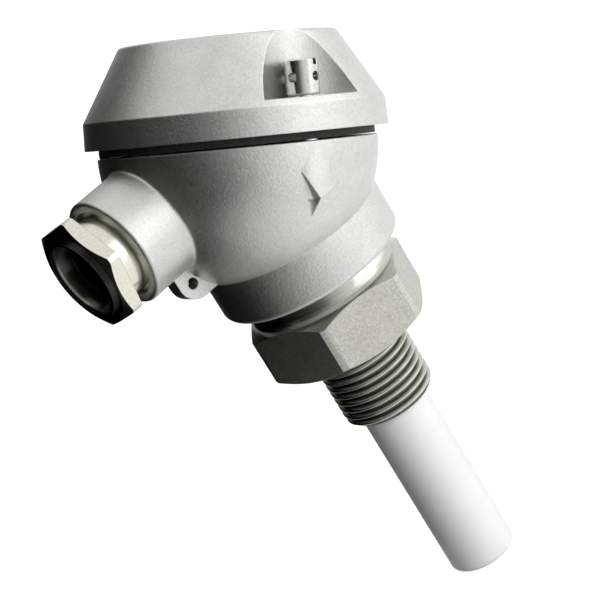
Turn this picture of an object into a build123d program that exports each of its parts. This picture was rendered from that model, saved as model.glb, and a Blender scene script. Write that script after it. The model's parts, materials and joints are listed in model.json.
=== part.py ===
from build123d import *
import os
from math import cos, pi, radians, sin, sqrt, tan

os.makedirs("parts", exist_ok=True)

# Frame: +Z runs up the probe axis, the rod hangs below, and the origin is the centre of the
# hexagon's lower face, which seals on the vessel. The cable entry points to -X, the lock screw
# is on the -Y side and the hinge on the +Y side. The cover's plane is tilted about Y.

# Process connection
thread_d = 20.955
thread_length = 17.5
thread_chamfer = 1.2
hex_af = 34.0
hex_corner_d = 38.4
hex_face_d = 33.2
hex_height = 13.2
hex_chamfer_angle = 30.0
hex_turn = 46.0
neck_d = 33.0
neck_height = 5.0
spigot_d = 24.0
spigot_chamfer = 0.8
seal_groove_d = 28.0
seal_groove_width = 2.2
seal_groove_depth = 1.3

# Probe
rod_d = 15.2
rod_length = 60.5
rod_tip_edge = 1.0
rod_fit = 0.05
rod_seat_depth = 4.0
rod_shoulder_gap = 1.8
sleeve_d = 9.8
electrode_d = 6.0
electrode_tip_cover = 6.0
ring_section_d = 1.75
bush_d = 17.0
bush_height = 1.5
stud_washer_d = 11.0
stud_washer_height = 0.8
stud_nut_af = 10.0
stud_nut_height = 5.0
stud_end = 2.0

# Head casting
collar_d = 41.2
collar_height = 10.4
collar_edge = 1.0
bowl_r = 28.6
bowl_wall = 3.0
floor_rise = 2.9
base_lip = 2.5
base_hole_d = 18.0
tilt = 30.0
bowl_edge = 0.3
gland_boss_d = 24.0
gland_reach = 36.9
gland_mouth_edge = 0.7
boss_blend = 0.8
gland_thread_d = 20.0
gland_thread_depth = 9.9
gland_passage_d = 16.0

# Seal lug under the cable entry
lug_front = 0.8
lug_thickness = 3.6
lug_reach = 29.0
lug_corner_r = 4.4
lug_hole_d = 2.4
lug_hole_x = 25.7
lug_hole_rise = 4.3
lug_foot_rise = 0.5

# Cover
seal_height = 1.5
seal_inset = 0.5
cover_d = 62.0
cover_crease_d = 61.6
cover_rim_height = 5.5
cover_top_d = 44.2
cover_height = 20.1
cover_top_edge = 1.0
cover_wall = 2.4
cover_mouth_d = 50.6
pocket_r = 12.9
pocket_centre = 34.6
pocket_floor = 6.7
pocket_base = 2.4
crease_blend = 0.4

# Lock screw, in the pocket
screw_radius = 25.35
screw_offset = 0.55
screw_head_d = 6.7
screw_head_height = 7.0
screw_shank_d = 3.8
screw_reach = 4.5
screw_slot_width = 1.0
screw_slot_depth = 1.3
screw_cross_d = 1.9
screw_turn = 19.2
screw_head_edge = 0.3
screw_tip_edge = 0.5
screw_boss_d = 9.8
screw_boss_depth = 8.2
screw_boss_cone = 103.0
screw_hole_d = 5.0
screw_hole_depth = 8.0
retainer_d = 6.0
retainer_height = 0.8
retainer_room = 0.3

# Swelling of the bowl under the lock screw, with a pointed foot and a small recess under its tip
pad_r = 9.0
pad_start = 1.0
pad_tip_drop = 11.4
pad_tip_left = 1.1
pad_left_slope = 1.66
pad_right_slope = 0.5
notch_left = 2.5
notch_right = 0.6
notch_drop = 11.2
notch_tip_left = 0.85
notch_tip_drop = 14.7
notch_depth = 1.0

# Hinge
hinge_y = 34.5
hinge_rise = 0.9
pin_d = 3.0
pin_head_d = 4.6
pin_head_height = 1.0
pin_edge = 0.3
knuckle_d = 5.9
knuckle_width = 10.0
ear_width = 5.0
ear_root_depth = 8.1
hinge_side_gap = 0.3

# Cable gland
nut_af = 22.0
nut_corner_d = 24.8
nut_face_d = 21.2
nut_turn = 16.0
nut_stand_off = 4.6
nut_height = 3.4
nut_chamfer_angle = 30.0
nut_lip_d = 17.8
nut_lip_height = 0.75
nut_mouth_d = 16.4
nut_bore_d = 12.0
nut_neck_d = 17.8
nut_neck_length = 5.0
nut_thread_length = 3.5
gland_washer_height = 0.8
gland_seal_bore_d = 9.0
gland_hole_fit = 0.2

# Electronics module
module_side_gap = 0.9
module_height = 10.0
module_wall = 1.6
module_edge = 0.6
board_thickness = 1.6
board_gap = 0.3
board_hole_d = 16.0
module_screw_inset = 3.8
module_screw_d = 3.0
module_screw_head_d = 5.5
module_screw_head_height = 1.9
module_screw_bite = 5.5
module_slot_width = 0.8
module_slot_depth = 0.9
pillar_d = 6.4
block_length = 22.0
block_width = 9.0
block_height = 6.0
block_y = 3.5
terminal_pitch = 6.8
terminal_screw_d = 3.2
terminal_head_d = 4.2
terminal_count = 3
wire_hole_d = 3.0
clamp_length = 5.0
clamp_height = 1.0
block_edge = 0.5
wire_hole_side = 0.6
terminal_head_sunk = 0.6
terminal_head_gap = 0.4
terminal_slot_width = 0.7
terminal_slot_depth = 0.8
trimmer_d = 5.2
trimmer_x = 8.5
trimmer_y = -10.0
trimmer_rise = 0.9
trimmer_slot_width = 0.7
indicator_d = 3.0
indicator_x = -8.5
indicator_rise = 1.2
earth_boss_d = 7.0
earth_radius = 21.8
earth_angle = 135.0
earth_depth = 3.0
earth_boss_length = 9.0
earth_hole_length = 6.75
earth_shank_length = 6.3
earth_screw_d = 3.5
earth_head_d = 6.4
earth_head_height = 2.2
earth_slot_width = 1.0
earth_slot_depth = 1.1
earth_washer_d = 7.0
earth_washer_height = 0.8

# Clearances between separate pieces
running_fit = 0.1
face_gap = 0.3
slip = 0.05
overcut = 1.0

# Sizes that follow from the ones above
collar_bottom = hex_height + neck_height
collar_top = collar_bottom + collar_height
head_z = collar_top + sqrt(bowl_r**2 - (collar_d / 2) ** 2)
floor_z = collar_top + floor_rise
spigot_top = floor_z - base_lip
cavity_r = bowl_r - bowl_wall
gasket_bottom = face_gap
rim_plane = gasket_bottom + seal_height
floor_r = sqrt(cavity_r**2 - (head_z - floor_z) ** 2)
notch_floor = sqrt(bowl_r**2 - ((notch_drop + notch_tip_drop) / 2) ** 2) - notch_depth
module_top = floor_z + module_height
module_d = 2 * (floor_r - module_side_gap)
module_screw_spacing = module_d - 2 * module_screw_inset
stud_base = spigot_top + bush_height
stud_top = stud_base + stud_washer_height + stud_nut_height + stud_end
gland_seat_x = gland_reach - gland_thread_depth
nut_back_x = gland_reach + nut_stand_off
nut_thread_reach = nut_back_x - nut_neck_length - nut_thread_length

# Tilted frame of the cover joint: U points downhill, N is the cover's normal
joint = Vector(0, 0, head_z)
uphill = Vector(cos(radians(tilt)), 0, -sin(radians(tilt)))
normal = Vector(sin(radians(tilt)), 0, cos(radians(tilt)))
tilt_axis = Axis(joint, normal)
tilt_section = Plane(origin=joint, x_dir=uphill, z_dir=(0, -1, 0))
screw_origin = joint + uphill * -screw_offset + Vector(0, -screw_radius, 0)
screw_axis = Axis(screw_origin, normal)
screw_section = Plane(origin=screw_origin, x_dir=uphill, z_dir=(0, -1, 0))
pin_origin = joint + Vector(0, hinge_y, 0) + normal * hinge_rise


def tilted(height):
    """Plane parallel to the cover joint, at a height along its normal."""
    return Plane(origin=joint + normal * height, x_dir=uphill, z_dir=normal)


def across_pin(offset):
    """Plane square to the hinge pin, with its own origin on the pin: x outward, y along N."""
    return Plane(origin=pin_origin + uphill * offset, x_dir=(0, 1, 0), z_dir=uphill)


def gland_plane(x):
    """Plane square to the cable entry at a distance out along -X, facing outward."""
    return Plane(origin=(-x, 0, head_z), x_dir=(0, -1, 0), z_dir=(-1, 0, 0))


def save(node, name):
    """Labels a finished piece and writes it as its own file."""
    node.part.label = name
    export_step(node.part, f"parts/{name}.step")
    print(name, round(node.part.volume), "mm3")


# Swelling of the bowl in front of the lock screw: it runs straight down while the ball recedes
with BuildPart() as lock_pad:
    with BuildSketch(tilted(-pad_start)):
        with Locations((-screw_offset, pad_r - bowl_r)):
            Circle(pad_r)
    extrude(amount=-pad_tip_drop)
    with BuildSketch(tilt_section):
        with BuildLine():
            Polyline(
                (-pad_r, pad_r),
                (-pad_r, -pad_tip_drop + pad_left_slope * (pad_r - pad_tip_left)),
                (-pad_tip_left, -pad_tip_drop),
                (pad_r, -pad_tip_drop + pad_right_slope * (pad_r + pad_tip_left)),
                (pad_r, pad_r),
                close=True,
            )
        make_face()
    extrude(amount=bowl_r, mode=Mode.INTERSECT)

# Boss for the lock screw's thread, inside the bowl, with a drill-pointed foot
with BuildPart() as lock_boss:
    cone_height = screw_boss_d / 2 / tan(radians(screw_boss_cone / 2))
    with BuildSketch(screw_section):
        with BuildLine():
            Polyline(
                (0, 0),
                (screw_boss_d / 2, 0),
                (screw_boss_d / 2, -screw_boss_depth),
                (0, -screw_boss_depth - cone_height),
                close=True,
            )
        make_face()
    revolve(axis=screw_axis)
    with Locations(joint):
        Sphere(bowl_r - bowl_wall / 3, mode=Mode.INTERSECT)

# Head body: half a ball under the tilted joint, a collar, the cable entry and the ears
with BuildPart() as head_body:
    with BuildSketch(tilt_section):
        with BuildLine():
            CenterArc((0, 0), bowl_r, -90, 90)
            Line((bowl_r, 0), (0, 0))
            Line((0, 0), (0, -bowl_r))
        make_face()
    revolve(axis=tilt_axis)
    fillet(head_body.edges().filter_by(lambda e: abs(e.length - 2 * pi * bowl_r) < 0.1), bowl_edge)
    with BuildSketch(Plane.XY.offset(collar_bottom)):
        Circle(collar_d / 2)
    extrude(amount=floor_z - collar_bottom)
    fillet(head_body.edges().group_by(Axis.Z)[0], collar_edge)
    with BuildSketch(gland_plane(gland_reach)):
        Circle(gland_boss_d / 2)
    extrude(amount=-(gland_reach - cavity_r / 2))
    foot_x = -sqrt(bowl_r**2 - (gland_boss_d / 2) ** 2)
    boss_foot = head_body.edges().filter_by(lambda e: abs(e.center().X - foot_x) < 0.1)
    fillet(boss_foot, boss_blend)
    mouth_rim = head_body.faces().sort_by(Axis.X)[0].outer_wire().edges()
    fillet(mouth_rim, gland_mouth_edge)
    # Web with the sealing hole, in the corner between the cable entry and the collar
    with BuildSketch(Plane.XZ.offset(lug_front)):
        lug_bottom = collar_top + lug_foot_rise
        with BuildLine():
            Polyline(
                (-collar_d / 2 + bowl_wall, lug_bottom),
                (-lug_reach + lug_corner_r, lug_bottom),
            )
            RadiusArc(
                (-lug_reach + lug_corner_r, lug_bottom),
                (-lug_reach, lug_bottom + lug_corner_r),
                lug_corner_r,
            )
            Polyline(
                (-lug_reach, lug_bottom + lug_corner_r),
                (-lug_reach, head_z - gland_boss_d / 3),
                (-cavity_r, head_z - gland_boss_d / 3),
                (-collar_d / 2 + bowl_wall, lug_bottom),
            )
        make_face()
    extrude(amount=-lug_thickness)
    add(lock_pad.part)
    with BuildSketch(tilt_section.offset(bowl_r)):
        with BuildLine():
            Polyline(
                (-notch_left, -notch_drop),
                (notch_right, -notch_drop),
                (-notch_tip_left, -notch_tip_drop),
                close=True,
            )
        make_face()
    extrude(amount=-(bowl_r - notch_floor), mode=Mode.SUBTRACT)
    # Hinge ears
    for side in (-1, 1):
        near = side * (knuckle_width / 2 + hinge_side_gap)
        with BuildSketch(across_pin(near)):
            Circle(knuckle_d / 2)
            with BuildLine():
                Polyline(
                    (0, -knuckle_d / 2),
                    (0, -hinge_rise),
                    (cavity_r / 2 - hinge_y, -hinge_rise),
                    (cavity_r / 2 - hinge_y, -hinge_rise - ear_root_depth),
                    (bowl_r - bowl_wall - hinge_y, -hinge_rise - ear_root_depth),
                    close=True,
                )
            make_face()
        extrude(amount=side * ear_width)
    # Inner space: a ball with a flat floor
    with BuildSketch(Plane.XZ):
        with BuildLine():
            ThreePointArc(
                (floor_r, floor_z),
                (cavity_r, head_z),
                (0, head_z + cavity_r),
            )
            Polyline(
                (0, head_z + cavity_r), (0, floor_z), (floor_r, floor_z)
            )
        make_face()
    revolve(axis=Axis.Z, mode=Mode.SUBTRACT)
    add(lock_boss.part)
    # Boss of the earth screw, on the inner wall above the module
    with BuildSketch(tilted(-earth_depth)):
        with PolarLocations(earth_radius, 1, start_angle=earth_angle):
            Circle(earth_boss_d / 2)
    extrude(amount=-earth_boss_length)
    with BuildSketch(tilted(-earth_depth)):
        with PolarLocations(earth_radius, 1, start_angle=earth_angle):
            Circle(earth_screw_d / 2 + slip)
    extrude(amount=-earth_hole_length, mode=Mode.SUBTRACT)
    # Holes
    with BuildSketch(tilted(0)):
        with Locations((-screw_offset, -screw_radius)):
            Circle(screw_hole_d / 2)
    extrude(amount=-screw_hole_depth, mode=Mode.SUBTRACT)
    with BuildSketch(gland_plane(gland_reach)):
        Circle(gland_thread_d / 2)
    extrude(amount=-(gland_reach - gland_seat_x), mode=Mode.SUBTRACT)
    with BuildSketch(gland_plane(gland_seat_x)):
        Circle(gland_passage_d / 2)
    extrude(amount=-(gland_seat_x - cavity_r / 2), mode=Mode.SUBTRACT)
    with BuildSketch(Plane.XY.offset(collar_bottom)):
        Circle(spigot_d / 2)
    extrude(amount=spigot_top - collar_bottom, mode=Mode.SUBTRACT)
    with BuildSketch(Plane.XY.offset(spigot_top)):
        Circle(base_hole_d / 2)
    extrude(amount=base_lip, mode=Mode.SUBTRACT)
    with BuildSketch(Plane.XY.offset(floor_z)):
        with Locations((0, module_screw_spacing / 2), (0, -module_screw_spacing / 2)):
            Circle(module_screw_d / 2)
    extrude(amount=-(module_screw_bite + overcut), mode=Mode.SUBTRACT)
    with BuildSketch(Plane.XZ.offset(lug_front)):
        with Locations((-lug_hole_x, collar_top + lug_hole_rise)):
            Circle(lug_hole_d / 2)
    extrude(amount=-lug_thickness, mode=Mode.SUBTRACT)
    with BuildSketch(across_pin(-knuckle_width - ear_width)):
        Circle(pin_d / 2)
    extrude(amount=2 * (knuckle_width + ear_width), mode=Mode.SUBTRACT)
save(head_body, "head_body")

# Hollow of the cover, which leaves room for the pocket and the screw's boss
with BuildPart() as cover_hollow:
    cone_slope = (cover_crease_d - cover_top_d) / 2 / (cover_height - cover_rim_height)
    hollow_top = cover_height - cover_wall
    hollow_top_r = cover_crease_d / 2 - cone_slope * (hollow_top - cover_rim_height) - cover_wall * 1.2
    hollow_bend = cover_rim_height + (cover_crease_d - cover_mouth_d) / 2 / cone_slope
    hollow_bend -= cover_wall * 1.2 / cone_slope
    with BuildSketch(tilt_section):
        with BuildLine():
            Polyline(
                (0, rim_plane - overcut),
                (cover_mouth_d / 2, rim_plane - overcut),
                (cover_mouth_d / 2, rim_plane + hollow_bend),
                (hollow_top_r, rim_plane + hollow_top),
                (0, rim_plane + hollow_top),
                close=True,
            )
        make_face()
    revolve(axis=tilt_axis)
    with BuildSketch(tilted(rim_plane + pocket_floor - pocket_base)):
        with Locations((-screw_offset, -pocket_centre)):
            Circle(pocket_r + cover_wall)
    extrude(amount=cover_height, mode=Mode.SUBTRACT)
    with BuildSketch(tilted(rim_plane - overcut)):
        with Locations((-screw_offset, -screw_radius)):
            Circle(screw_boss_d / 2)
    extrude(amount=cover_height, mode=Mode.SUBTRACT)

# Cover: turned outline with a pocket cut into its cone, and the middle knuckle of the hinge
with BuildPart() as cover:
    with BuildSketch(tilt_section):
        with BuildLine():
            Polyline(
                (0, rim_plane),
                (cover_d / 2, rim_plane),
                (cover_crease_d / 2, rim_plane + cover_rim_height),
                (cover_top_d / 2, rim_plane + cover_height),
                (0, rim_plane + cover_height),
                close=True,
            )
        make_face()
    revolve(axis=tilt_axis)
    rings = cover.edges().filter_by(GeomType.CIRCLE)
    crease = rings.sort_by(lambda e: abs(e.radius - cover_crease_d / 2))[0]
    fillet(crease, crease_blend)
    top_ring = cover.edges().filter_by(GeomType.CIRCLE).sort_by(Axis(joint, normal))[-1]
    fillet(top_ring, cover_top_edge)
    with BuildSketch(across_pin(-knuckle_width / 2)):
        Circle(knuckle_d / 2)
        with BuildLine():
            web_bottom = rim_plane - hinge_rise
            web_root = cover_mouth_d / 2 - hinge_y
            Polyline(
                (0, knuckle_d / 2),
                (0, web_bottom),
                (web_root, web_bottom),
                (web_root, web_bottom + cover_rim_height * 0.7),
                (cover_d / 2 - hinge_y, web_bottom + cover_rim_height * 0.7),
                close=True,
            )
        make_face()
    extrude(amount=knuckle_width)
    with BuildSketch(across_pin(-knuckle_width)):
        Circle(pin_d / 2 + running_fit)
    extrude(amount=2 * knuckle_width, mode=Mode.SUBTRACT)
    add(cover_hollow.part, mode=Mode.SUBTRACT)
    with BuildSketch(tilted(rim_plane + pocket_floor)):
        with Locations((-screw_offset, -pocket_centre)):
            Circle(pocket_r)
    extrude(amount=cover_height, mode=Mode.SUBTRACT)
    with BuildSketch(tilted(rim_plane - overcut)):
        with Locations((-screw_offset, -screw_radius)):
            Circle(screw_shank_d / 2 + running_fit)
    extrude(amount=cover_height, mode=Mode.SUBTRACT)
    with BuildSketch(tilted(rim_plane)):
        with Locations((-screw_offset, -screw_radius)):
            Circle(retainer_d / 2 + retainer_room)
    extrude(amount=retainer_height + 2 * retainer_room, mode=Mode.SUBTRACT)
save(cover, "cover")

# Flat gasket under the cover, wider where the lock screw passes
with BuildPart() as cover_gasket:
    with BuildSketch(tilted(gasket_bottom)):
        Circle(bowl_r - seal_inset)
        Circle(cavity_r, mode=Mode.SUBTRACT)
        with Locations((-screw_offset, -screw_radius)):
            Circle(screw_boss_d / 2 - running_fit)
        Circle(bowl_r - seal_inset, mode=Mode.INTERSECT)
        with Locations((-screw_offset, -screw_radius)):
            Circle(screw_shank_d / 2 + retainer_room, mode=Mode.SUBTRACT)
    extrude(amount=seal_height)
save(cover_gasket, "cover_gasket")

# Hinge pin, with a head at its uphill end
with BuildPart() as hinge_pin:
    pin_half = knuckle_width / 2 + hinge_side_gap + ear_width
    with BuildSketch(across_pin(-pin_half - pin_head_height)):
        Circle(pin_head_d / 2)
    extrude(amount=pin_head_height)
    with BuildSketch(across_pin(-pin_half)):
        Circle(pin_d / 2)
    extrude(amount=2 * pin_half + pin_head_height)
    chamfer(hinge_pin.edges().sort_by(Axis(joint, uphill))[-1], pin_edge)
save(hinge_pin, "hinge_pin")

# Lock screw: capstan head with a slot and two cross holes
with BuildPart() as lock_screw:
    head_base = rim_plane + pocket_floor + face_gap
    with BuildSketch(tilted(head_base)):
        with Locations((-screw_offset, -screw_radius)):
            Circle(screw_head_d / 2)
    extrude(amount=screw_head_height)
    chamfer(lock_screw.edges().filter_by(GeomType.CIRCLE), screw_head_edge)
    with BuildSketch(tilted(-screw_reach)):
        with Locations((-screw_offset, -screw_radius)):
            Circle(screw_shank_d / 2)
    extrude(amount=screw_reach + head_base)
    tip_edge = lock_screw.edges().filter_by(GeomType.CIRCLE).sort_by(Axis(joint, normal))[0]
    chamfer(tip_edge, screw_tip_edge)
    with BuildSketch(tilted(head_base + screw_head_height)):
        with Locations((-screw_offset, -screw_radius)):
            Rectangle(screw_head_d * 2, screw_slot_width, rotation=screw_turn - 90)
    extrude(amount=-screw_slot_depth, mode=Mode.SUBTRACT)
    for turn in (screw_turn, screw_turn + 90):
        across = uphill * cos(radians(turn)) + Vector(0, 1, 0) * sin(radians(turn))
        middle = screw_origin + normal * (head_base + screw_head_height / 2)
        with BuildSketch(Plane(origin=middle - across * screw_head_d, z_dir=across)):
            Circle(screw_cross_d / 2)
        extrude(amount=2 * screw_head_d, mode=Mode.SUBTRACT)
save(lock_screw, "lock_screw")

# Ring that keeps the lock screw in the cover
with BuildPart() as screw_retainer:
    with BuildSketch(tilted(rim_plane + retainer_room)):
        with Locations((-screw_offset, -screw_radius)):
            Circle(retainer_d / 2)
            Circle(screw_shank_d / 2, mode=Mode.SUBTRACT)
    extrude(amount=retainer_height)
save(screw_retainer, "screw_retainer")


def hexagon_envelope(face_d, corner_d, angle, height):
    """Half section of the turned outline that chamfers a hexagon at both ends."""
    drop = (corner_d - face_d) / 2 * tan(radians(angle))
    return [
        (0, 0),
        (face_d / 2, 0),
        (corner_d / 2, drop),
        (corner_d / 2, height - drop),
        (face_d / 2, height),
        (0, height),
    ]


# Process connection: hexagon, neck, spigot and the male thread as a plain cylinder
with BuildPart() as process_connection:
    with BuildSketch(Plane.XY):
        RegularPolygon(hex_af / 2, 6, major_radius=False, rotation=hex_turn)
    extrude(amount=hex_height)
    with BuildSketch(Plane.XZ):
        with BuildLine():
            outline = hexagon_envelope(hex_face_d, hex_corner_d, hex_chamfer_angle, hex_height)
            Polyline(*outline, close=True)
        make_face()
    revolve(axis=Axis.Z, mode=Mode.INTERSECT)
    with BuildSketch(Plane.XY.offset(-thread_length)):
        Circle(thread_d / 2)
    extrude(amount=thread_length)
    chamfer(process_connection.edges().sort_by(Axis.Z)[0], thread_chamfer)
    with BuildSketch(Plane.XY.offset(hex_height)):
        Circle(neck_d / 2)
    extrude(amount=neck_height)
    with BuildSketch(Plane.XY.offset(collar_bottom)):
        Circle(spigot_d / 2 - slip)
    extrude(amount=spigot_top - collar_bottom)
    chamfer(process_connection.edges().sort_by(Axis.Z)[-1], spigot_chamfer)
    with BuildSketch(Plane.XY.offset(collar_bottom)):
        Circle((seal_groove_d + seal_groove_width) / 2)
        Circle((seal_groove_d - seal_groove_width) / 2, mode=Mode.SUBTRACT)
    extrude(amount=-seal_groove_depth, mode=Mode.SUBTRACT)
    with BuildSketch(Plane.XY.offset(-thread_length)):
        Circle(rod_d / 2 + rod_fit)
    extrude(amount=thread_length + rod_seat_depth, mode=Mode.SUBTRACT)
    with BuildSketch(Plane.XY.offset(rod_seat_depth)):
        Circle(sleeve_d / 2 + rod_fit)
    extrude(amount=spigot_top, mode=Mode.SUBTRACT)
save(process_connection, "process_connection")

# Flat ring between the neck and the collar
with BuildPart() as neck_seal:
    with BuildSketch(Plane.XY.offset(collar_bottom - seal_groove_depth)):
        Circle((seal_groove_d + seal_groove_width) / 2 - slip)
        Circle((seal_groove_d - seal_groove_width) / 2 + slip, mode=Mode.SUBTRACT)
    extrude(amount=seal_groove_depth)
save(neck_seal, "neck_seal")

# Probe rod: thick-walled sleeve with a closed, slightly rounded end
with BuildPart() as probe_rod:
    shoulder_z = rod_seat_depth - rod_shoulder_gap
    with BuildSketch(Plane.XY.offset(-rod_length)):
        Circle(rod_d / 2)
    extrude(amount=rod_length + shoulder_z)
    fillet(probe_rod.edges().sort_by(Axis.Z)[0], rod_tip_edge)
    with BuildSketch(Plane.XY.offset(shoulder_z)):
        Circle(sleeve_d / 2)
    extrude(amount=spigot_top - shoulder_z)
    with BuildSketch(Plane.XY.offset(-rod_length + electrode_tip_cover)):
        Circle(electrode_d / 2 + slip)
    extrude(amount=rod_length + spigot_top, mode=Mode.SUBTRACT)
save(probe_rod, "probe_rod")

# Ring that seals the rod's shoulder
with BuildPart() as rod_seal:
    ring_r = sleeve_d / 2 + slip + ring_section_d / 2
    with BuildSketch(Plane.XZ):
        with Locations((ring_r, rod_seat_depth - rod_shoulder_gap / 2)):
            Circle(ring_section_d / 2)
    revolve(axis=Axis.Z)
save(rod_seal, "rod_seal")

# Sensing electrode, which ends in a stud
with BuildPart() as electrode:
    with BuildSketch(Plane.XY.offset(-rod_length + electrode_tip_cover + slip)):
        Circle(electrode_d / 2)
    extrude(amount=rod_length - electrode_tip_cover + stud_top)
    chamfer(electrode.edges().filter_by(GeomType.CIRCLE), 0.5)
save(electrode, "electrode")

# Insulating bush on top of the spigot
with BuildPart() as insulating_bush:
    with BuildSketch(Plane.XY.offset(spigot_top)):
        Circle(bush_d / 2)
        Circle(electrode_d / 2 + slip, mode=Mode.SUBTRACT)
    extrude(amount=bush_height)
save(insulating_bush, "insulating_bush")

with BuildPart() as electrode_washer:
    with BuildSketch(Plane.XY.offset(stud_base)):
        Circle(stud_washer_d / 2)
        Circle(electrode_d / 2 + slip, mode=Mode.SUBTRACT)
    extrude(amount=stud_washer_height)
save(electrode_washer, "electrode_washer")

with BuildPart() as electrode_nut:
    with BuildSketch(Plane.XY.offset(stud_base + stud_washer_height)):
        RegularPolygon(stud_nut_af / 2, 6, major_radius=False)
        Circle(electrode_d / 2 + slip, mode=Mode.SUBTRACT)
    extrude(amount=stud_nut_height)
save(electrode_nut, "electrode_nut")

# Cable gland: hexagon pressure screw with a rounded mouth
with BuildPart() as gland_nut:
    with BuildSketch(gland_plane(nut_back_x)):
        RegularPolygon(nut_af / 2, 6, major_radius=False, rotation=nut_turn)
    extrude(amount=nut_height)
    nut_section = Plane(origin=(-nut_back_x, 0, head_z), x_dir=(0, 0, 1), z_dir=(0, 1, 0))
    gland_axis = Axis((-nut_back_x, 0, head_z), (-1, 0, 0))
    nut_drop = (nut_corner_d - nut_face_d) / 2 * tan(radians(nut_chamfer_angle))
    with BuildSketch(nut_section):
        with BuildLine():
            Polyline(
                (0, 0),
                (nut_corner_d / 2, 0),
                (nut_corner_d / 2, -nut_height + nut_drop),
                (nut_face_d / 2, -nut_height),
                (0, -nut_height),
                close=True,
            )
        make_face()
    revolve(axis=gland_axis, mode=Mode.INTERSECT)
    with BuildSketch(gland_plane(nut_back_x + nut_height)):
        Circle(nut_lip_d / 2)
    extrude(amount=nut_lip_height)
    with BuildSketch(gland_plane(nut_back_x - nut_neck_length)):
        Circle(nut_neck_d / 2)
    extrude(amount=nut_neck_length)
    with BuildSketch(gland_plane(nut_thread_reach)):
        Circle(gland_thread_d / 2 - running_fit)
    extrude(amount=nut_thread_length)
    with BuildSketch(gland_plane(nut_thread_reach)):
        Circle(nut_bore_d / 2)
    extrude(amount=gland_reach, mode=Mode.SUBTRACT)
    # Trumpet mouth: a quarter of a hollow curve from the lip down to the bore
    mouth_x = nut_height + nut_lip_height
    mouth_run = (nut_mouth_d - nut_bore_d) / 2
    with BuildSketch(nut_section):
        with BuildLine():
            Line((0, -mouth_x), (nut_mouth_d / 2, -mouth_x))
            RadiusArc(
                (nut_mouth_d / 2, -mouth_x),
                (nut_bore_d / 2, -mouth_x + 1.6 * mouth_run),
                -1.9 * mouth_run,
            )
            Line((nut_bore_d / 2, -mouth_x + 1.6 * mouth_run), (0, -mouth_x + 1.6 * mouth_run))
            Line((0, -mouth_x + 1.6 * mouth_run), (0, -mouth_x))
        make_face()
    revolve(axis=gland_axis, mode=Mode.SUBTRACT)
save(gland_nut, "gland_nut")

with BuildPart() as gland_washer:
    with BuildSketch(gland_plane(nut_thread_reach - face_gap)):
        Circle(gland_thread_d / 2 - gland_hole_fit)
        Circle(nut_bore_d / 2, mode=Mode.SUBTRACT)
    extrude(amount=-gland_washer_height)
save(gland_washer, "gland_washer")

with BuildPart() as gland_seal:
    seal_outer = nut_thread_reach - face_gap - gland_washer_height
    with BuildSketch(gland_plane(seal_outer)):
        Circle(gland_thread_d / 2 - gland_hole_fit)
        Circle(gland_seal_bore_d / 2, mode=Mode.SUBTRACT)
    extrude(amount=-(seal_outer - gland_seat_x))
save(gland_seal, "gland_seal")

# Module housing: an inverted cup on the floor, held by two screws through pillars
with BuildPart() as module_housing:
    with BuildSketch(Plane.XY.offset(floor_z)):
        Circle(module_d / 2)
    extrude(amount=module_height)
    fillet(module_housing.edges().sort_by(Axis.Z)[-1], module_edge)
    with BuildSketch(Plane.XY.offset(floor_z)):
        Circle(module_d / 2 - module_wall)
    extrude(amount=module_height - module_wall, mode=Mode.SUBTRACT)
    with BuildSketch(Plane.XY.offset(floor_z)):
        with Locations((0, module_screw_spacing / 2), (0, -module_screw_spacing / 2)):
            Circle(pillar_d / 2)
    extrude(amount=module_height - module_wall)
    with BuildSketch(Plane.XY.offset(floor_z)):
        with Locations((0, module_screw_spacing / 2), (0, -module_screw_spacing / 2)):
            Circle(module_screw_d / 2 + slip)
        with Locations((trimmer_x, trimmer_y)):
            Circle(trimmer_d / 2 + running_fit)
        with Locations((indicator_x, trimmer_y)):
            Circle(indicator_d / 2)
    extrude(amount=module_height, mode=Mode.SUBTRACT)
save(module_housing, "module_housing")

# Circuit board under the housing's top
board_top = module_top - module_wall
with BuildPart() as circuit_board:
    with BuildSketch(Plane.XY.offset(board_top - board_thickness)):
        Circle(module_d / 2 - module_wall - board_gap)
        Circle(board_hole_d / 2, mode=Mode.SUBTRACT)
        with Locations((0, module_screw_spacing / 2), (0, -module_screw_spacing / 2)):
            Circle(pillar_d / 2 + board_gap, mode=Mode.SUBTRACT)
    extrude(amount=board_thickness)
save(circuit_board, "circuit_board")

with BuildPart() as module_screws:
    with BuildSketch(Plane.XY.offset(floor_z - module_screw_bite)):
        with Locations((0, module_screw_spacing / 2), (0, -module_screw_spacing / 2)):
            Circle(module_screw_d / 2)
    extrude(amount=module_height + module_screw_bite)
    with BuildSketch(Plane.XY.offset(module_top)):
        with Locations((0, module_screw_spacing / 2), (0, -module_screw_spacing / 2)):
            Circle(module_screw_head_d / 2)
    extrude(amount=module_screw_head_height)
    with BuildSketch(Plane.XY.offset(module_top + module_screw_head_height)):
        with Locations((0, module_screw_spacing / 2), (0, -module_screw_spacing / 2)):
            Rectangle(module_screw_head_d, module_slot_width)
    extrude(amount=-module_slot_depth, mode=Mode.SUBTRACT)
save(module_screws, "module_screws")

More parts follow.
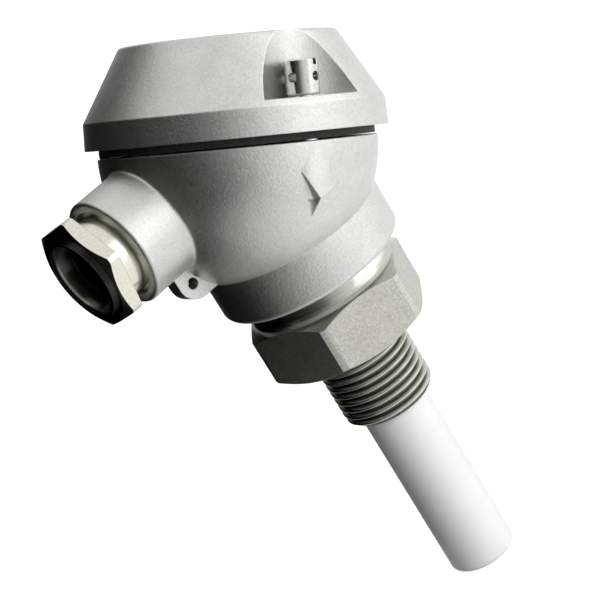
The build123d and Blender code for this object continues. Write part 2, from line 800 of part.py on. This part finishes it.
# Terminal block with its wire entries on the -Y side
terminal_spots = [((i - (terminal_count - 1) / 2) * terminal_pitch, block_y) for i in range(terminal_count)]
wire_z = module_top + block_height * 0.38
clamp_top = wire_z + wire_hole_d / 2
with BuildPart() as terminal_block:
    with BuildSketch(Plane.XY.offset(module_top)):
        with Locations((0, block_y)):
            Rectangle(block_length, block_width)
    extrude(amount=block_height)
    chamfer(terminal_block.edges().filter_by(Axis.Z), block_edge)
    with BuildSketch(Plane.XY.offset(module_top + block_height)):
        with Locations(*terminal_spots):
            Circle(terminal_head_d / 2 + slip)
    extrude(amount=-(module_top + block_height - clamp_top), mode=Mode.SUBTRACT)
    with BuildSketch(Plane(origin=(0, block_y - block_width / 2, wire_z), x_dir=(1, 0, 0), z_dir=(0, -1, 0))):
        with Locations(*[(x, 0) for x, _ in terminal_spots]):
            Rectangle(wire_hole_d + 2 * wire_hole_side, wire_hole_d)
    extrude(amount=-(block_width / 2 + clamp_length / 2), mode=Mode.SUBTRACT)
save(terminal_block, "terminal_block")

with BuildPart() as terminal_clamps:
    with BuildSketch(Plane.XY.offset(wire_z - wire_hole_d / 2)):
        with Locations(*terminal_spots):
            Rectangle(wire_hole_d + 2 * (wire_hole_side - slip), clamp_length)
    extrude(amount=clamp_height)
save(terminal_clamps, "terminal_clamps")

with BuildPart() as terminal_screws:
    clamp_z = wire_z - wire_hole_d / 2 + clamp_height
    head_top = module_top + block_height - terminal_head_sunk
    with BuildSketch(Plane.XY.offset(clamp_z)):
        with Locations(*terminal_spots):
            Circle(terminal_screw_d / 2)
    extrude(amount=head_top - clamp_z)
    with BuildSketch(Plane.XY.offset(clamp_top + terminal_head_gap)):
        with Locations(*terminal_spots):
            Circle(terminal_head_d / 2)
    extrude(amount=head_top - clamp_top - terminal_head_gap)
    with BuildSketch(Plane.XY.offset(head_top)):
        with Locations(*terminal_spots):
            Rectangle(terminal_head_d, terminal_slot_width)
    extrude(amount=-terminal_slot_depth, mode=Mode.SUBTRACT)
save(terminal_screws, "terminal_screws")

# Rotor of the sensitivity trimmer, on the board, showing through the housing
with BuildPart() as sensitivity_trimmer:
    with BuildSketch(Plane.XY.offset(board_top + face_gap)):
        with Locations((trimmer_x, trimmer_y)):
            Circle(trimmer_d / 2)
    extrude(amount=module_wall + trimmer_rise - face_gap)
    with BuildSketch(Plane.XY.offset(module_top + trimmer_rise)):
        with Locations((trimmer_x, trimmer_y)):
            Rectangle(trimmer_d, trimmer_slot_width)
    extrude(amount=-trimmer_rise, mode=Mode.SUBTRACT)
save(sensitivity_trimmer, "sensitivity_trimmer")

with BuildPart() as indicator_lens:
    with BuildSketch(Plane.XY.offset(board_top)):
        with Locations((indicator_x, trimmer_y)):
            Circle(indicator_d / 2)
    extrude(amount=module_wall + indicator_rise)
    fillet(indicator_lens.edges().sort_by(Axis.Z)[-1], indicator_rise * 0.7)
save(indicator_lens, "indicator_lens")

with BuildPart() as earth_washer:
    with BuildSketch(tilted(-earth_depth)):
        with PolarLocations(earth_radius, 1, start_angle=earth_angle):
            Circle(earth_washer_d / 2)
            Circle(earth_screw_d / 2 + slip, mode=Mode.SUBTRACT)
    extrude(amount=earth_washer_height)
save(earth_washer, "earth_washer")

with BuildPart() as earth_screw:
    with BuildSketch(tilted(-earth_depth - earth_shank_length)):
        with PolarLocations(earth_radius, 1, start_angle=earth_angle):
            Circle(earth_screw_d / 2)
    extrude(amount=earth_shank_length + earth_washer_height)
    with BuildSketch(tilted(earth_washer_height - earth_depth)):
        with PolarLocations(earth_radius, 1, start_angle=earth_angle):
            Circle(earth_head_d / 2)
    extrude(amount=earth_head_height)
    with BuildSketch(tilted(earth_washer_height - earth_depth + earth_head_height)):
        with PolarLocations(earth_radius, 1, start_angle=earth_angle):
            Rectangle(earth_head_d, earth_slot_width)
            Rectangle(earth_slot_width, earth_head_d)
    extrude(amount=-earth_slot_depth, mode=Mode.SUBTRACT)
save(earth_screw, "earth_screw")
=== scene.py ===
import json
from math import cos, pi, radians

import bmesh
import bpy
from mathutils import Matrix, Vector


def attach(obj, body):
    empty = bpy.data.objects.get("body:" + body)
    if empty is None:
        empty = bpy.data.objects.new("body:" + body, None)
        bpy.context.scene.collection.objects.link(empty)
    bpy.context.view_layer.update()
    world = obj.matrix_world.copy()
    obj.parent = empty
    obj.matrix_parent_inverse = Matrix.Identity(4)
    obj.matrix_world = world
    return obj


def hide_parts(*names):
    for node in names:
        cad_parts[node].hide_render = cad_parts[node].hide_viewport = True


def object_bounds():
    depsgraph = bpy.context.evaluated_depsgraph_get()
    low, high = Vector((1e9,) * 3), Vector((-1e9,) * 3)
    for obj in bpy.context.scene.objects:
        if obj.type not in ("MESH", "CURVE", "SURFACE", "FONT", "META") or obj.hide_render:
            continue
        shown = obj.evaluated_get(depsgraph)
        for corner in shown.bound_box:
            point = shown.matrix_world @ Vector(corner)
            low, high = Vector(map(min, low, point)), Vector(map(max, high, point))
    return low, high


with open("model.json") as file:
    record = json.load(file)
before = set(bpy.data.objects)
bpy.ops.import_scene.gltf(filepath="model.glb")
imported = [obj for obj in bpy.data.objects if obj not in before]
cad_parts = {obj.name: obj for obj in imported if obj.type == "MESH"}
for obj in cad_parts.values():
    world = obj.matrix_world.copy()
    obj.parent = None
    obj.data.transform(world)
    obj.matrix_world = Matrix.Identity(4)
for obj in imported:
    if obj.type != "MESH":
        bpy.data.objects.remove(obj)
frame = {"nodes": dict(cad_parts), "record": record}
cad_low, cad_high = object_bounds()
MM = 0.001
ORIGIN = Vector((0, 0, 0))
UP = Vector((0, 0, 1))

# Sizes that this script shares with the solids, in metres. The probe's axis is Z, and the
# hexagon's lower face is at height 0.
thread_r = 20.955 / 2 * MM
thread_root_r = 18.631 / 2 * MM
thread_pitch = 1.814 * MM
thread_end = -17.5 * MM
rod_hole_r = 7.65 * MM
hex_top = 13.2 * MM
hex_flat_r = 17.0 * MM
cable_axis_z = 48.44 * MM
nut_lip_r = 8.95
nut_face_x = -44.8
mould_line_z = 48.7

# Colours, each as the pair that its noise runs between
cast_skin = ((0.60, 0.61, 0.588), (0.70, 0.71, 0.684))
cast_grain = ((0.50, 0.50, 0.49), (0.82, 0.82, 0.81))
turned_steel = ((0.50, 0.50, 0.45), (0.64, 0.64, 0.583))
drawn_speckle = ((0.35, 0.35, 0.318), (0.66, 0.66, 0.61))
drawn_patches = ((0.48, 0.48, 0.43), (0.66, 0.66, 0.61))
nickel = ((0.66, 0.655, 0.56), (0.76, 0.755, 0.66))
# Painted shade for the inside of the nut's mouth and the outer side of its lip
nickel_painted_shade = ((0.05, 0.05, 0.045), (0.09, 0.09, 0.08))
zinc = ((0.58, 0.58, 0.57), (0.72, 0.72, 0.71))
rod_white = ((0.86, 0.865, 0.86), (0.90, 0.905, 0.90))
rubber = ((0.012, 0.012, 0.012), (0.035, 0.035, 0.034))
brass = ((0.55, 0.38, 0.15), (0.78, 0.58, 0.26))
module_black = ((0.018, 0.018, 0.02), (0.03, 0.03, 0.033))
board_green = ((0.02, 0.13, 0.05), (0.03, 0.19, 0.07))
terminal_grey = ((0.50, 0.51, 0.49), (0.60, 0.61, 0.59))
trimmer_blue = ((0.04, 0.12, 0.36), (0.06, 0.17, 0.48))
lens_amber = ((0.60, 0.20, 0.01), (0.72, 0.28, 0.02))
# Painted shade for the roots between the thread's teeth
thread_root_painted_shade = (0.15, 0.15, 0.135)


# Nodes of a material

class Nodes:
    """A node tree under way. Inputs take a number, a vector, a colour or another node's socket."""

    def __init__(self, tree):
        self.tree = tree
        tree.nodes.clear()

    def node(self, kind, inputs=None, **settings):
        made = self.tree.nodes.new(kind)
        for name, value in settings.items():
            setattr(made, name, value)
        for name, value in (inputs or {}).items():
            self.put(made.inputs[name], value)
        return made

    def put(self, socket, value):
        if isinstance(value, bpy.types.NodeSocket):
            self.tree.links.new(value, socket)
        elif socket.type == "RGBA":
            socket.default_value = (*value, 1)
        else:
            socket.default_value = value

    def math(self, operation, *values):
        made = self.node("ShaderNodeMath", dict(enumerate(values)), operation=operation)
        return made.outputs[0]

    def vector_math(self, operation, *values, result="Vector"):
        made = self.node("ShaderNodeVectorMath", dict(enumerate(values)), operation=operation)
        return made.outputs[result]

    def split(self, vector):
        """The X, Y and Z of a vector."""
        return self.node("ShaderNodeSeparateXYZ", {0: vector}).outputs

    def off_axis(self, where):
        """Distance from the Z axis of the given coordinates."""
        level = self.vector_math("MULTIPLY", where, (1, 1, 0))
        return self.vector_math("LENGTH", level, result="Value")

    def mapped_range(self, value, low, high, start=0.0, end=1.0, smooth=False):
        """Runs from start to end as the value goes from low to high."""
        made = self.node("ShaderNodeMapRange", {
            "Value": value, "From Min": low, "From Max": high, "To Min": start, "To Max": end,
        }, interpolation_type="SMOOTHSTEP" if smooth else "LINEAR")
        return made.outputs["Result"]


class Finish(Nodes):
    """A material with one Principled shader, and patterns in millimetres on the piece."""

    def __init__(self, name, **sockets):
        self.material = bpy.data.materials.new(name)
        self.material.use_nodes = True
        super().__init__(self.material.node_tree)
        self.shader = self.node("ShaderNodeBsdfPrincipled")
        self.node("ShaderNodeOutputMaterial", {"Surface": self.shader.outputs["BSDF"]})
        self.place = self.node("ShaderNodeTexCoord").outputs["Object"]
        for socket, value in sockets.items():
            self.shader.inputs[socket.replace("_", " ")].default_value = value

    def mapped(self, centre=ORIGIN, turn=(0, 0, 0), stretch=(1, 1, 1)):
        """Object coordinates seen from a centre, then turned and stretched."""
        made = self.node("ShaderNodeMapping", {
            "Vector": self.vector_math("SUBTRACT", self.place, centre),
            "Rotation": turn, "Scale": stretch})
        return made.outputs["Vector"]

    def noise(self, size, where=None, detail=3.0, roughness=0.6):
        made = self.node("ShaderNodeTexNoise", {
            "Vector": where or self.place, "Scale": 1 / (size * MM),
            "Detail": detail, "Roughness": roughness})
        return made.outputs["Fac"]

    def rings(self, size, where=None):
        """Uneven turning marks along the Z of the given coordinates, 2 pi sizes apart."""
        radians_to_a_band = 20
        made = self.node("ShaderNodeTexWave", {
            "Vector": where or self.place, "Scale": 1 / (size * MM) / radians_to_a_band,
            "Distortion": 1.5, "Detail": 2.0, "Detail Scale": 2.0,
        }, bands_direction="Z", wave_profile="SIN")
        return made.outputs["Fac"]

    def seam(self, height):
        """A thin level ridge at a height in millimetres, worn away in places."""
        half_width = 0.30
        level = self.split(self.mapped(centre=(0, 0, height * MM)))["Z"]
        ridge = self.mapped_range(self.math("ABSOLUTE", level), 0, half_width * MM,
                                  start=1.0, end=0.0, smooth=True)
        return self.math("MULTIPLY", ridge, self.span(self.noise(6.0), -0.6, 1.2))

    def beyond(self, distance, near, far):
        """0 up to the near distance in millimetres, rising to 1 at the far one."""
        return self.mapped_range(distance, near * MM, far * MM, smooth=True)

    def span(self, value, low, high):
        """Maps 0 to 1 onto the span from low to high."""
        return self.mapped_range(value, 0, 1, low, high)

    def blend(self, share, first, second):
        """Mixes two colours, with a share of the second."""
        made = self.node("ShaderNodeMix", {"Factor": share}, data_type="RGBA")
        for socket, colour in zip([s for s in made.inputs if s.type == "RGBA"], (first, second)):
            self.put(socket, colour)
        return [s for s in made.outputs if s.type == "RGBA"][0]

    def ramp(self, value, colours, low=0.3, high=0.7):
        """Runs between two colours as the value goes from low to high."""
        made = self.node("ShaderNodeValToRGB", {"Fac": value})
        for mark, position, colour in zip(made.color_ramp.elements, (low, high), colours):
            mark.position = position
            mark.color = (*colour, 1)
        return made.outputs["Color"]

    def raised(self, height, depth, strength, over=None):
        """Bump of a depth in millimetres, over an earlier normal if one is given."""
        inputs = {"Strength": strength, "Distance": depth * MM, "Height": height}
        if over:
            inputs["Normal"] = over
        return self.node("ShaderNodeBump", inputs).outputs["Normal"]

    def rounded(self, radius):
        """Normal that softens every edge of the piece to a radius in millimetres."""
        return self.node("ShaderNodeBevel", {"Radius": radius * MM}, samples=6).outputs["Normal"]

    def done(self, colour, rough, normal):
        for name, value in (("Base Color", colour), ("Roughness", rough), ("Normal", normal)):
            self.put(self.shader.inputs[name], value)
        return self.material


def cast_aluminium(name="cast_aluminium", seam_height=None):
    """Shot-blasted casting: bright grain over faint clouds, and a trimmed mould line if asked."""
    finish = Finish(name, Metallic=1.0)
    clouds = finish.noise(7.0, detail=4.0)
    grain = finish.noise(0.5, detail=2.0, roughness=0.8)
    colour = finish.blend(0.35, finish.ramp(clouds, cast_skin),
                          finish.ramp(grain, cast_grain, 0.35, 0.65))
    waves = finish.raised(clouds, 0.25, 0.35, over=finish.rounded(0.35))
    if seam_height:
        waves = finish.raised(finish.seam(seam_height), 0.05, 0.6, over=waves)
    return finish.done(colour, finish.span(grain, 0.36, 0.50),
                       finish.raised(grain, 0.07, 0.8, over=waves))


def turned_stainless():
    """Lathe-turned stainless steel with fine rings round the probe, and painted shade in the
    thread's roots.
    """
    root_reach, crest_reach = 9.4, 10.25
    finish = Finish("turned_stainless", Metallic=1.0)
    smear = finish.noise(1.4, where=finish.mapped(stretch=(0.25, 0.25, 3.0)))
    # Painted shade: the colour turns dark grey towards the thread's roots
    crest = finish.beyond(finish.off_axis(finish.place), root_reach, crest_reach)
    colour = finish.blend(crest, thread_root_painted_shade, finish.ramp(smear, turned_steel))
    return finish.done(colour, finish.span(smear, 0.16, 0.26),
                       finish.raised(finish.rings(0.16), 0.010, 0.5, over=finish.rounded(0.2)))


def drawn_stainless():
    """Hexagon flats of drawn bar: a dense, dull speckle."""
    finish = Finish("drawn_stainless", Metallic=1.0)
    speckle = finish.noise(0.42, detail=2.0, roughness=0.8)
    colour = finish.blend(0.25, finish.ramp(speckle, drawn_speckle, high=0.68),
                          finish.ramp(finish.noise(4.0), drawn_patches, 0.35, 0.65))
    return finish.done(colour, finish.span(speckle, 0.38, 0.55),
                       finish.raised(speckle, 0.05, 0.6, over=finish.rounded(0.2)))


def nickel_plate():
    """Satin nickel with a warm tint and soft tool marks, and painted shade inside the nut's mouth
    and on its lip.
    """
    mouth_reach, bright_reach = 7.9, 8.25
    finish = Finish("nickel_plate", Metallic=1.0)
    along_cable = finish.mapped(centre=(0, 0, cable_axis_z), turn=(0, pi / 2, 0))
    dust = finish.noise(0.5)
    reach = finish.off_axis(along_cable)
    off_the_lip = finish.math(
        "MAXIMUM", finish.beyond(reach, nut_lip_r, nut_lip_r + 0.15),
        finish.beyond(finish.split(finish.place)["X"], nut_face_x - 0.15, nut_face_x))
    # Painted shade: the nickel turns dark inside the mouth and on the lip
    out_of_painted_shade = finish.math("MINIMUM", finish.beyond(reach, mouth_reach, bright_reach), off_the_lip)
    colour = finish.blend(out_of_painted_shade, finish.ramp(dust, nickel_painted_shade), finish.ramp(dust, nickel))
    marks = finish.rings(0.2, where=along_cable)
    return finish.done(colour, finish.span(dust, 0.18, 0.28),
                       finish.raised(marks, 0.004, 0.25, over=finish.rounded(0.18)))


def zinc_plate():
    """Bright plated screws."""
    finish = Finish("zinc_plate", Metallic=1.0)
    dust = finish.noise(0.4)
    return finish.done(finish.ramp(dust, zinc), finish.span(dust, 0.12, 0.20),
                       finish.raised(dust, 0.003, 0.2, over=finish.rounded(0.12)))


def white_fluoropolymer():
    """Waxy white rod, with hardly visible turning marks."""
    finish = Finish("white_fluoropolymer", Specular_IOR_Level=0.35, Subsurface_Weight=0.08,
                    Subsurface_Radius=(1.0, 0.95, 0.9), Subsurface_Scale=0.6 * MM)
    haze = finish.noise(5.0)
    return finish.done(finish.ramp(haze, rod_white), finish.span(haze, 0.42, 0.52),
                       finish.raised(finish.rings(0.5), 0.006, 0.35))


def seal_rubber():
    """Dark, dusty rubber."""
    finish = Finish("seal_rubber", Specular_IOR_Level=0.35)
    dust = finish.noise(0.8)
    return finish.done(finish.ramp(dust, rubber, high=0.75), finish.span(dust, 0.55, 0.75),
                       finish.raised(dust, 0.04, 0.4))


def moulded(name, colours, rough):
    """Moulded plastic with a fine spark-eroded grain."""
    finish = Finish(name)
    grains = finish.noise(0.25, detail=2.0)
    return finish.done(finish.ramp(finish.noise(6.0), colours),
                       finish.span(grains, rough - 0.08, rough + 0.08),
                       finish.raised(grains, 0.03, 0.35, over=finish.rounded(0.15)))


def bare_brass():
    """Brass clamps and washers with a little tarnish."""
    finish = Finish("bare_brass", Metallic=1.0)
    tarnish = finish.noise(1.2)
    return finish.done(finish.ramp(tarnish, brass), finish.span(tarnish, 0.25, 0.42),
                       finish.rounded(0.1))


finishes = {
    "cast_aluminium": cast_aluminium(),
    "stainless_steel": turned_stainless(),
    "white_fluoropolymer": white_fluoropolymer(),
    "seal_rubber": seal_rubber(),
    "nickel_plate": nickel_plate(),
    "plated_steel": zinc_plate(),
    "module_plastic": moulded("module_plastic", module_black, 0.45),
    "board_laminate": moulded("board_laminate", board_green, 0.3),
    "terminal_plastic": moulded("terminal_plastic", terminal_grey, 0.5),
    "bare_brass": bare_brass(),
    "trimmer_plastic": moulded("trimmer_plastic", trimmer_blue, 0.4),
    "lens_plastic": moulded("lens_plastic", lens_amber, 0.2),
}
hexagon_finish = drawn_stainless()
body_finish = cast_aluminium("cast_aluminium_body", seam_height=mould_line_z)

node_slots = {s["node"]: s["material_slot"] for s in frame["record"]["subparts"]}
for node_name, node_object in frame["nodes"].items():
    node_object.data.materials.clear()
    node_object.data.materials.append(finishes[node_slots[node_name]])
frame["nodes"]["head_body"].data.materials[0] = body_finish


# Making a piece

def piece(name, mesh_builder, body, materials, smooth_angle):
    """Turns a bmesh into an object that rides on a body and takes its finish from a slot."""
    mesh = bpy.data.meshes.new(name)
    mesh_builder.to_mesh(mesh)
    mesh_builder.free()
    made = bpy.data.objects.new(name, mesh)
    bpy.context.scene.collection.objects.link(made)
    for material in materials:
        mesh.materials.append(material)
    mesh.shade_smooth()
    mesh.set_sharp_from_angle(angle=radians(smooth_angle))
    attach(made, body)
    return made


def cut_level(bm, height, side):
    """Cuts off all that lies beyond a height, above it for side 1 and below it for side -1."""
    bmesh.ops.bisect_plane(bm, geom=bm.verts[:] + bm.edges[:] + bm.faces[:], dist=1e-7,
                           plane_co=(0, 0, height), plane_no=(0, 0, side), clear_outer=True)


# Process connection with its true thread

def thread_surface(turns, steps=96):
    """A rounded 55 degree thread, spun from one tooth and drawn out along the axis."""
    points = 12
    # Above 1, the wave is cut off at crest and root and its flanks are nearly straight
    steepness = 1.28
    bm = bmesh.new()
    depth = thread_r - thread_root_r
    corners = []
    for i in range(points + 1):
        share = i / points
        level = max(-1.0, min(1.0, cos(2 * pi * share) * steepness))
        corners.append(bm.verts.new((
            thread_root_r + depth * (0.5 - 0.5 * level), 0, thread_pitch * share)))
    tooth = [bm.edges.new(pair) for pair in zip(corners, corners[1:])]
    drop = thread_pitch / steps
    bmesh.ops.spin(bm, geom=corners + tooth, cent=ORIGIN, axis=UP, dvec=(0, 0, drop),
                   angle=2 * pi * turns, steps=int(steps * turns), use_merge=False)
    bmesh.ops.remove_doubles(bm, verts=bm.verts, dist=0.002 * MM)
    return bm


def threaded_end():
    """The thread, cut off at both ends, with a lead-in cone at the tip and a face to the rod."""
    start_below_tip = 1.4 * thread_pitch
    tip_r = thread_root_r - 0.1 * MM
    bm = thread_surface(turns=int(-thread_end / thread_pitch) + 2)
    bmesh.ops.translate(bm, verts=bm.verts, vec=(0, 0, thread_end - start_below_tip))
    cut_level(bm, 0, 1)
    cut_level(bm, thread_end, -1)
    for vert in bm.verts:
        flat = Vector((vert.co.x, vert.co.y, 0))
        limit = tip_r + (vert.co.z - thread_end)
        if flat.length > limit:
            vert.co = flat.normalized() * limit + Vector((0, 0, vert.co.z))
    rims = [e for e in bm.edges if e.is_boundary and abs(e.verts[0].co.z - thread_end) < 1e-6]
    inner = bmesh.ops.extrude_edge_only(bm, edges=rims)["geom"]
    for vert in [g for g in inner if isinstance(g, bmesh.types.BMVert)]:
        flat = Vector((vert.co.x, vert.co.y, 0)).normalized() * rod_hole_r
        vert.co = flat + Vector((0, 0, thread_end))
    bmesh.ops.recalc_face_normals(bm, faces=bm.faces)
    return bm


def connection_body():
    """The solid's hexagon and neck, without its plain cylinder, and with its flats marked."""
    bm = bmesh.new()
    bm.from_mesh(frame["nodes"]["process_connection"].data)
    bmesh.ops.remove_doubles(bm, verts=bm.verts, dist=0.001 * MM)
    cut_level(bm, -0.02 * MM, -1)
    for face in bm.faces:
        centre = face.calc_center_median()
        upright = abs(face.normal.z) < 0.02
        on_flat = abs(face.normal.dot(Vector((centre.x, centre.y, 0))) - hex_flat_r) < 0.1 * MM
        face.material_index = int(upright and on_flat and 0 < centre.z < hex_top)
    return bm


steel = finishes["stainless_steel"]
thread_piece = piece("process_thread_true", threaded_end(), "head",
                     [steel], smooth_angle=50)
body_piece = piece("process_connection_body", connection_body(), "head",
                   [steel, hexagon_finish], smooth_angle=18)
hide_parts("process_connection")
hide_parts("process_connection")


# Studio

floor_half_width = 6.0
floor_grey = (0.38, 0.38, 0.38)
floor_glow = 0.90
room_dark = 0.015
room_light = 0.75
room_light_side = Vector((0.50, -0.80, 0.15)).normalized()
screen_r = 0.24
screen_top = 0.60
screen_foot = cad_low.z + 0.5 * MM
mat_hole_r = 0.02

# Darkness of the screen and of the mat, by the bearing round the probe in degrees
screen_bearings = [
    (-180, 0.99), (-160, 0.97), (-146, 0.93), (-130, 0.86), (-118, 0.50), (-97, 0.10),
    (-76, 0.0), (60, 0.0), (75, 0.55), (86, 0.95), (98, 1.0), (160, 1.0), (180, 0.99)]
mat_bearings = [
    (-180, 0.94), (-165, 0.72), (-150, 0.45), (-134, 0.25), (-110, 0.12), (-90, 0.05),
    (-76, 0.0), (60, 0.0), (75, 0.5), (88, 0.95), (98, 1.0), (160, 1.0), (180, 0.94)]


def background_rays(nodes):
    """1 for the rays that show the background: from the camera, a reflection or a clear piece."""
    path = nodes.node("ShaderNodeLightPath").outputs
    shown = path["Is Camera Ray"]
    for name in ("Is Glossy Ray", "Is Transmission Ray"):
        shown = nodes.math("MAXIMUM", shown, path[name])
    return shown


def stage_material(name):
    material = bpy.data.materials.new(name)
    material.use_nodes = True
    return material, Nodes(material.node_tree)


def stage_object(name, bm, material):
    mesh = bpy.data.meshes.new(name)
    bm.to_mesh(mesh)
    bm.free()
    mesh.materials.append(material)
    made = bpy.data.objects.new(name, mesh)
    bpy.context.scene.collection.objects.link(made)
    return made


def stand(made, place, target):
    """Puts a lamp or a card in its place, with its face towards the target."""
    made.location = place
    made.rotation_mode = "QUATERNION"
    made.rotation_quaternion = (Vector(target) - Vector(place)).to_track_quat("-Z", "Y")


def floor():
    """A wide pale floor under the tip of the rod, white for the camera and in reflections."""
    bm = bmesh.new()
    bmesh.ops.create_grid(bm, x_segments=1, y_segments=1, size=floor_half_width)
    bmesh.ops.translate(bm, verts=bm.verts, vec=(0, 0, cad_low.z - 0.2 * MM))
    material, nodes = stage_material("studio_floor")
    matt = nodes.node("ShaderNodeBsdfDiffuse", {"Color": floor_grey})
    glow = nodes.node("ShaderNodeEmission", {
        "Strength": nodes.math("MULTIPLY", background_rays(nodes), floor_glow)})
    both = nodes.node("ShaderNodeAddShader", {0: matt.outputs[0], 1: glow.outputs[0]})
    nodes.node("ShaderNodeOutputMaterial", {"Surface": both.outputs[0]})
    stage_object("studio_floor", bm, material)


def dark_screen(name, outline, bearings, near=(0.0, 0.01, 1.0), far=(1.0, 2.0)):
    """A round screen or mat that only reflections see, spun from (radius, height) points.
    Its darkness follows the bearing round the probe. It has the share near[2] up to the radius
    near[0] and is whole from near[1] on, and it fades out between the two heights in far."""
    bm = bmesh.new()
    corners = [bm.verts.new((radius, 0, height)) for radius, height in outline]
    edges = [bm.edges.new(pair) for pair in zip(corners, corners[1:])]
    bmesh.ops.spin(bm, geom=corners + edges, cent=ORIGIN, axis=UP, steps=72,
                   angle=2 * pi, use_merge=True)
    material, nodes = stage_material(name)
    place = nodes.node("ShaderNodeTexCoord").outputs["Object"]
    parts = nodes.split(place)
    bearing = nodes.mapped_range(nodes.math("ARCTAN2", parts["Y"], parts["X"]), -pi, pi)
    shade = nodes.node("ShaderNodeValToRGB", {"Fac": bearing})
    marks = shade.color_ramp.elements
    marks.remove(marks[1])
    for degrees_round, darkness in bearings:
        mark = marks[0] if degrees_round == -180 else marks.new(degrees_round / 360 + 0.5)
        mark.color = (darkness, darkness, darkness, 1)
    upward = nodes.mapped_range(parts["Z"], *far, start=1.0, end=0.0, smooth=True)
    outward = nodes.mapped_range(nodes.off_axis(place), *near)
    dark = nodes.math("MULTIPLY", nodes.math("MULTIPLY", shade.outputs["Color"], upward), outward)
    clear = nodes.node("ShaderNodeBsdfTransparent")
    black = nodes.node("ShaderNodeEmission", {"Strength": 0.0})
    mixed = nodes.node("ShaderNodeMixShader", {0: dark, 1: clear.outputs[0], 2: black.outputs[0]})
    nodes.node("ShaderNodeOutputMaterial", {"Surface": mixed.outputs[0]})
    screen = stage_object(name, bm, material)
    screen.visible_camera = False
    screen.visible_diffuse = False
    screen.visible_transmission = False
    screen.visible_shadow = False


def glow_card(name, place, width, height, strength, target):
    """A clear card that adds a soft glow, brightest in its middle and nothing at its edges."""
    bm = bmesh.new()
    bmesh.ops.create_grid(bm, x_segments=1, y_segments=1, size=0.5)
    bmesh.ops.scale(bm, verts=bm.verts, vec=(width, height, 1))
    material, nodes = stage_material(name)
    where = nodes.node("ShaderNodeTexCoord").outputs["Object"]
    half_turns = nodes.vector_math("MULTIPLY", where, (pi / width, pi / height, 0))
    swell = nodes.split(nodes.vector_math("COSINE", half_turns))
    power = nodes.math("MULTIPLY", nodes.math("MULTIPLY", swell["X"], swell["Y"]), strength)
    clear = nodes.node("ShaderNodeBsdfTransparent")
    glow = nodes.node("ShaderNodeEmission", {"Strength": power})
    both = nodes.node("ShaderNodeAddShader", {0: clear.outputs[0], 1: glow.outputs[0]})
    nodes.node("ShaderNodeOutputMaterial", {"Surface": both.outputs[0]})
    card = stage_object(name, bm, material)
    stand(card, place, target)
    card.visible_camera = False
    card.visible_shadow = False


def lamp(name, place, power, in_metal):
    """A soft square lamp that faces the object. The camera never sees it, and metal may."""
    data = bpy.data.lights.new(name, "AREA")
    data.shape = "RECTANGLE"
    data.size = 0.50
    data.size_y = 0.50
    data.energy = power
    made = bpy.data.objects.new(name, data)
    stand(made, place, target=(0, 0, 0.03))
    made.visible_glossy = in_metal
    made.visible_camera = False
    bpy.context.scene.collection.objects.link(made)


def studio_world():
    """White background; as a light, a pale room that is darker on the cable entry's side."""
    world = bpy.data.worlds.new("studio")
    bpy.context.scene.world = world
    world.use_nodes = True
    nodes = Nodes(world.node_tree)
    way = nodes.node("ShaderNodeTexCoord").outputs["Generated"]
    toward = nodes.vector_math("DOT_PRODUCT", way, room_light_side, result="Value")
    room = nodes.node("ShaderNodeBackground", {
        "Strength": nodes.mapped_range(toward, 0.0, 0.9, room_dark, room_light)})
    white = nodes.node("ShaderNodeBackground", {"Color": (1, 1, 1)})
    mixed = nodes.node("ShaderNodeMixShader", {
        0: background_rays(nodes), 1: room.outputs[0], 2: white.outputs[0]})
    nodes.node("ShaderNodeOutputWorld", {"Surface": mixed.outputs[0]})


def camera():
    """The photograph's view: from the front left and above, rolled so that the rod points right."""
    data = bpy.data.cameras.new("camera")
    data.lens = 129.35
    data.sensor_width = 36.0
    data.clip_start = 0.01
    made = bpy.data.objects.new("camera", data)
    right = Vector((0.65440, -0.57753, -0.48807))
    upward = Vector((0.60501, 0.01274, 0.79612))
    axes = Matrix((right, upward, right.cross(upward))).transposed().to_4x4()
    made.matrix_world = Matrix.Translation(Vector((-209.6, -365.8, 174.3)) * MM) @ axes
    bpy.context.scene.collection.objects.link(made)
    bpy.context.scene.camera = made


floor()
studio_world()
dark_screen("studio_screen", ((screen_r, screen_foot), (screen_r, screen_top)),
            screen_bearings, far=(0.31, screen_top))
dark_screen("studio_mat", ((mat_hole_r, screen_foot), (screen_r, screen_foot)),
            mat_bearings, near=(mat_hole_r, 0.12, 0.5))
glow_card("studio_glow_wall", (0.46, -0.40, 0.12), 1.10, 0.42, 0.95, target=(0, 0, 0.12))
glow_card("studio_glow_floor", (0.24, -0.18, -0.089), 0.60, 0.50, 1.0, target=(0.24, -0.18, 1.0))
lamp("key", (0.06, -0.68, 0.22), 3.4, in_metal=False)
lamp("fill", (0.36, -0.50, 0.24), 0.7, in_metal=True)
lamp("back", (0.18, 0.72, 0.30), 2.6, in_metal=False)
camera()
bpy.context.scene.view_settings.view_transform = "Standard"
